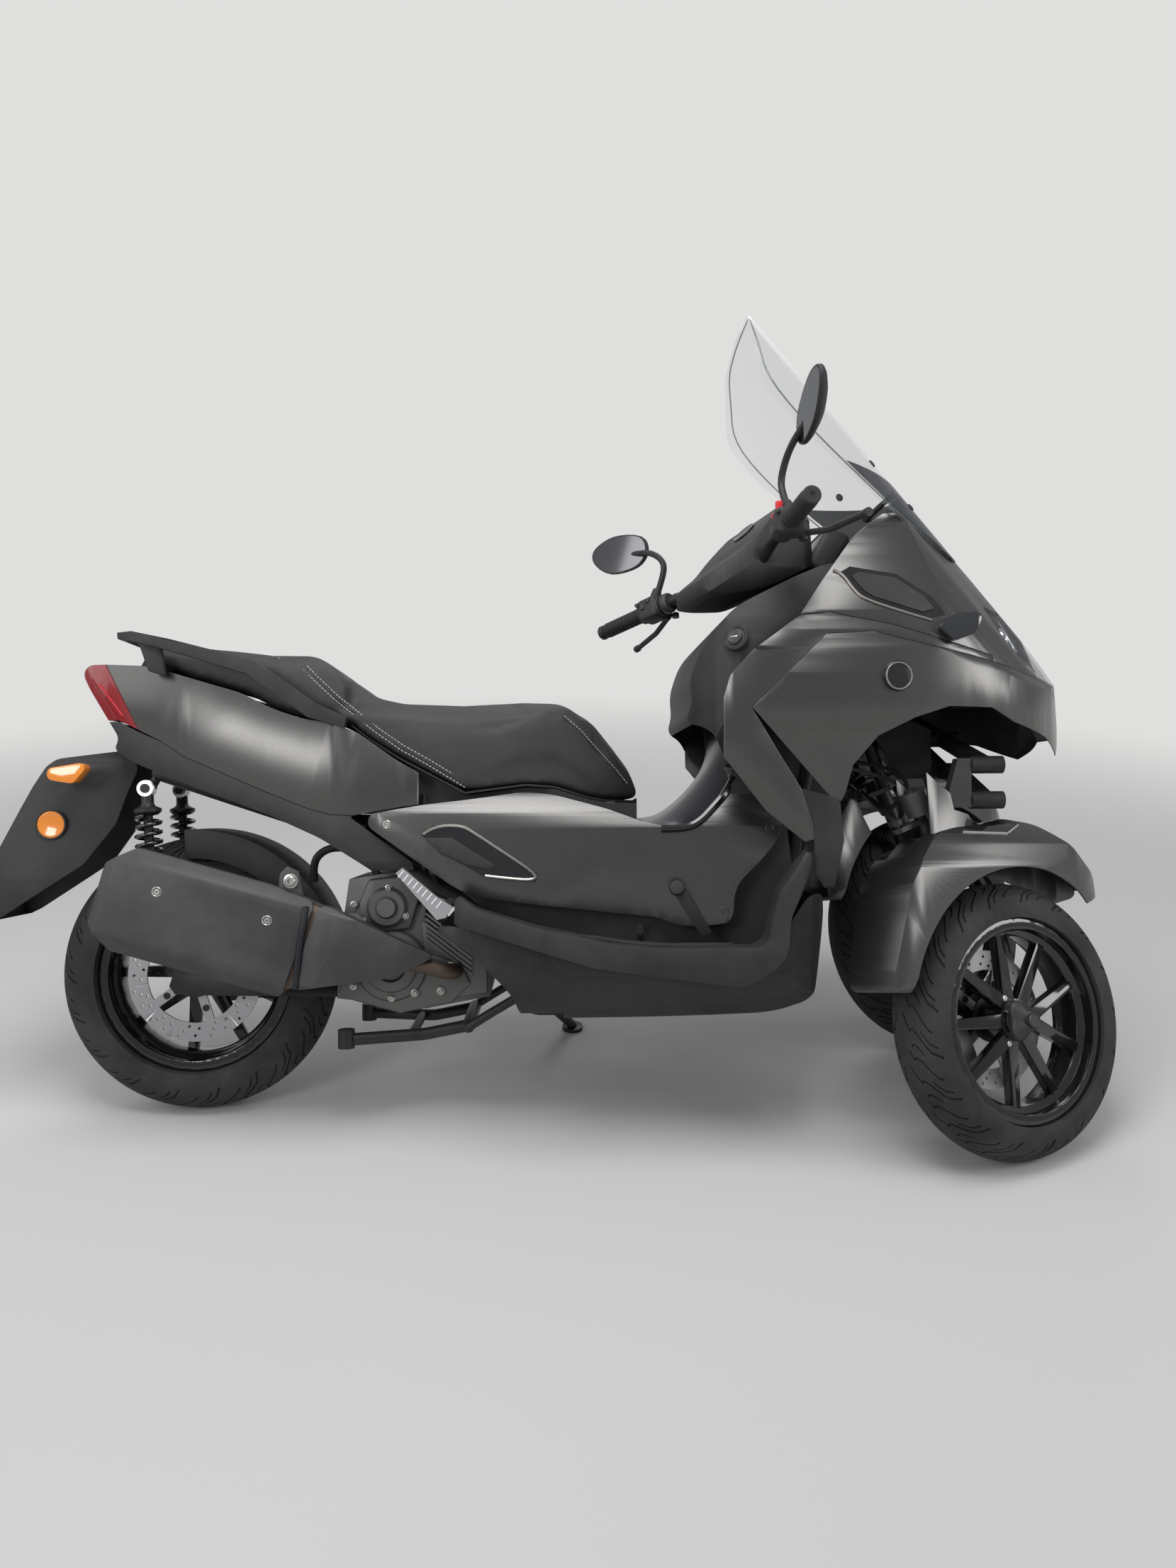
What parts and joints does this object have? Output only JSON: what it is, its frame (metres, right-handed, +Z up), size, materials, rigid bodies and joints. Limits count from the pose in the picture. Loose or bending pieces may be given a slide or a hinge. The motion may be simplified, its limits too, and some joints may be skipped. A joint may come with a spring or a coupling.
{
  "type": "motorized trike",
  "caption": "Leaning three-wheel scooter with two steered front wheels on a tilting linkage, one driven rear wheel, tall screen, opening seat and stands, parked leaning on its side stand.",
  "frame": {"origin": "on the ground, under the middle of the parked machine's outer box", "axes": "+X forward, +Y to the rider's left, +Z up; the machine leans towards +Y on its side stand"},
  "size_m": [2.2461, 0.9812, 1.5866],
  "materials": {
    "frame_steel": "satin black",
    "cast_alloy": "cast, grey",
    "leg_paint": "satin black",
    "rim_paint": "gloss black",
    "tyre": "black rubber",
    "disc_steel": "drilled steel",
    "caliper_paint": "anodised",
    "body_grey": "matte metallic dark grey",
    "dark_plastic": "grained charcoal",
    "clear_lens": "clear lens",
    "screen": "clear sheet",
    "red_lens": "red lens",
    "amber_lens": "amber lens",
    "smoked_lens": "smoked lens",
    "seat_vinyl": "textured vinyl",
    "bright_alloy": "satin",
    "grip_rubber": "black",
    "shield_grey": "worn grey",
    "exhaust_steel": "heat-worn black",
    "shock_black": "black springs"
  },
  "bodies": {
    "chassis": {"main_frame": "frame_steel", "upper_tilt_arm": "cast_alloy", "lower_tilt_arm": "cast_alloy", "kingpin_housing_right": "cast_alloy", "kingpin_housing_left": "cast_alloy", "front_cowl": "body_grey", "cowl_frame": "dark_plastic", "lower_leg_panel": "dark_plastic", "upper_cowl": "body_grey", "headlamp": "clear_lens", "windscreen": "screen", "windscreen_stay": "frame_steel", "leg_shield": "dark_plastic", "side_covers": "body_grey", "footboards": "body_grey", "belly_cover": "dark_plastic", "tail_cover": "body_grey", "tail_undercover": "dark_plastic", "tail_light": "red_lens", "storage_bin": "dark_plastic", "engine_unit": "cast_alloy", "swing_arm": "frame_steel", "shock_absorbers": "shock_black", "muffler": "exhaust_steel", "muffler_heat_shield": "shield_grey", "rear_hugger": "dark_plastic", "plate_holder": "dark_plastic", "rear_indicators": "amber_lens", "front_indicators": "smoked_lens", "grab_rails": "dark_plastic", "pillion_pegs": "bright_alloy"},
    "handlebar": {"handlebar": "frame_steel", "handlebar_grips": "grip_rubber", "controls": "dark_plastic", "mirrors": "dark_plastic", "handlebar_cover": "dark_plastic"},
    "front_leg_right": {"front_leg_right": "leg_paint", "front_caliper_right": "caliper_paint", "front_mudguard_right": "dark_plastic"},
    "front_leg_left": {"front_leg_left": "leg_paint", "front_caliper_left": "caliper_paint", "front_mudguard_left": "dark_plastic"},
    "tie_bar": {"tie_rod": "frame_steel"},
    "front_wheel_right": {"front_rim_right": "rim_paint", "front_tyre_right": "tyre", "front_brake_disc_right": "disc_steel"},
    "front_wheel_left": {"front_rim_left": "rim_paint", "front_tyre_left": "tyre", "front_brake_disc_left": "disc_steel"},
    "rear_wheel": {"rear_rim": "rim_paint", "rear_tyre": "tyre", "rear_brake_disc": "disc_steel"},
    "seat": {"seat_cushion": "seat_vinyl", "seat_base": "dark_plastic"},
    "side_stand": {"side_stand": "frame_steel"},
    "centre_stand": {"centre_stand": "frame_steel"}
  },
  "joints": [
    {"name": "steering", "type": "hinge", "parent": "chassis", "child": "handlebar", "pos_m": [0.63613, 0.05261, 0.82082], "axis": [-0.342, 0.2543, 0.9046], "range_deg": [-48, 0]},
    {"name": "kingpin_right", "type": "hinge", "parent": "chassis", "child": "front_leg_right", "pos_m": [0.71256, -0.23922, 0.61866], "axis": [-0.342, 0.2543, 0.9046], "range_deg": [-48, 0]},
    {"name": "kingpin_left", "type": "hinge", "parent": "chassis", "child": "front_leg_left", "pos_m": [0.71256, 0.23078, 0.61866], "axis": [-0.342, 0.2543, 0.9046], "range_deg": [-48, 0]},
    {"name": "tie_rod_swivel", "type": "hinge", "parent": "handlebar", "child": "tie_bar", "pos_m": [0.65852, -0.03313, 0.60898], "axis": [-0.342, 0.2543, 0.9046], "range_deg": [0, 48]},
    {"name": "front_axle_right", "type": "hinge", "parent": "front_leg_right", "child": "front_wheel_right", "pos_m": [0.87716, -0.33302, 0.24642], "axis": [-0.3822, 0.8418, -0.3811], "continuous": true},
    {"name": "front_axle_left", "type": "hinge", "parent": "front_leg_left", "child": "front_wheel_left", "pos_m": [0.87716, 0.13698, 0.24642], "axis": [-0.3822, 0.8418, -0.3811], "continuous": true},
    {"name": "rear_axle", "type": "hinge", "parent": "chassis", "child": "rear_wheel", "pos_m": [-0.7175, -0.10277, 0.26805], "axis": [0, 0.9627, -0.2706], "continuous": true},
    {"name": "seat_hinge", "type": "hinge", "parent": "chassis", "child": "seat", "pos_m": [0.1675, -0.01179, 0.5917], "axis": [0, 0.9627, -0.2706], "range_deg": [0, 55]},
    {"name": "side_stand_pivot", "type": "hinge", "parent": "chassis", "child": "side_stand", "pos_m": [-0.0175, 0.02588, 0.13445], "axis": [0.03, 0.7827, 0.6217], "range_deg": [0, 100]},
    {"name": "centre_stand_pivot", "type": "hinge", "parent": "chassis", "child": "centre_stand", "pos_m": [-0.1655, -0.12978, 0.17197], "axis": [0, -0.9627, 0.2706], "range_deg": [0, 95]}
  ],
  "couplings": [
    {"joint": "kingpin_right", "follows": "steering", "ratio": 1},
    {"joint": "kingpin_left", "follows": "steering", "ratio": 1},
    {"joint": "tie_rod_swivel", "follows": "steering", "ratio": -1}
  ]
}
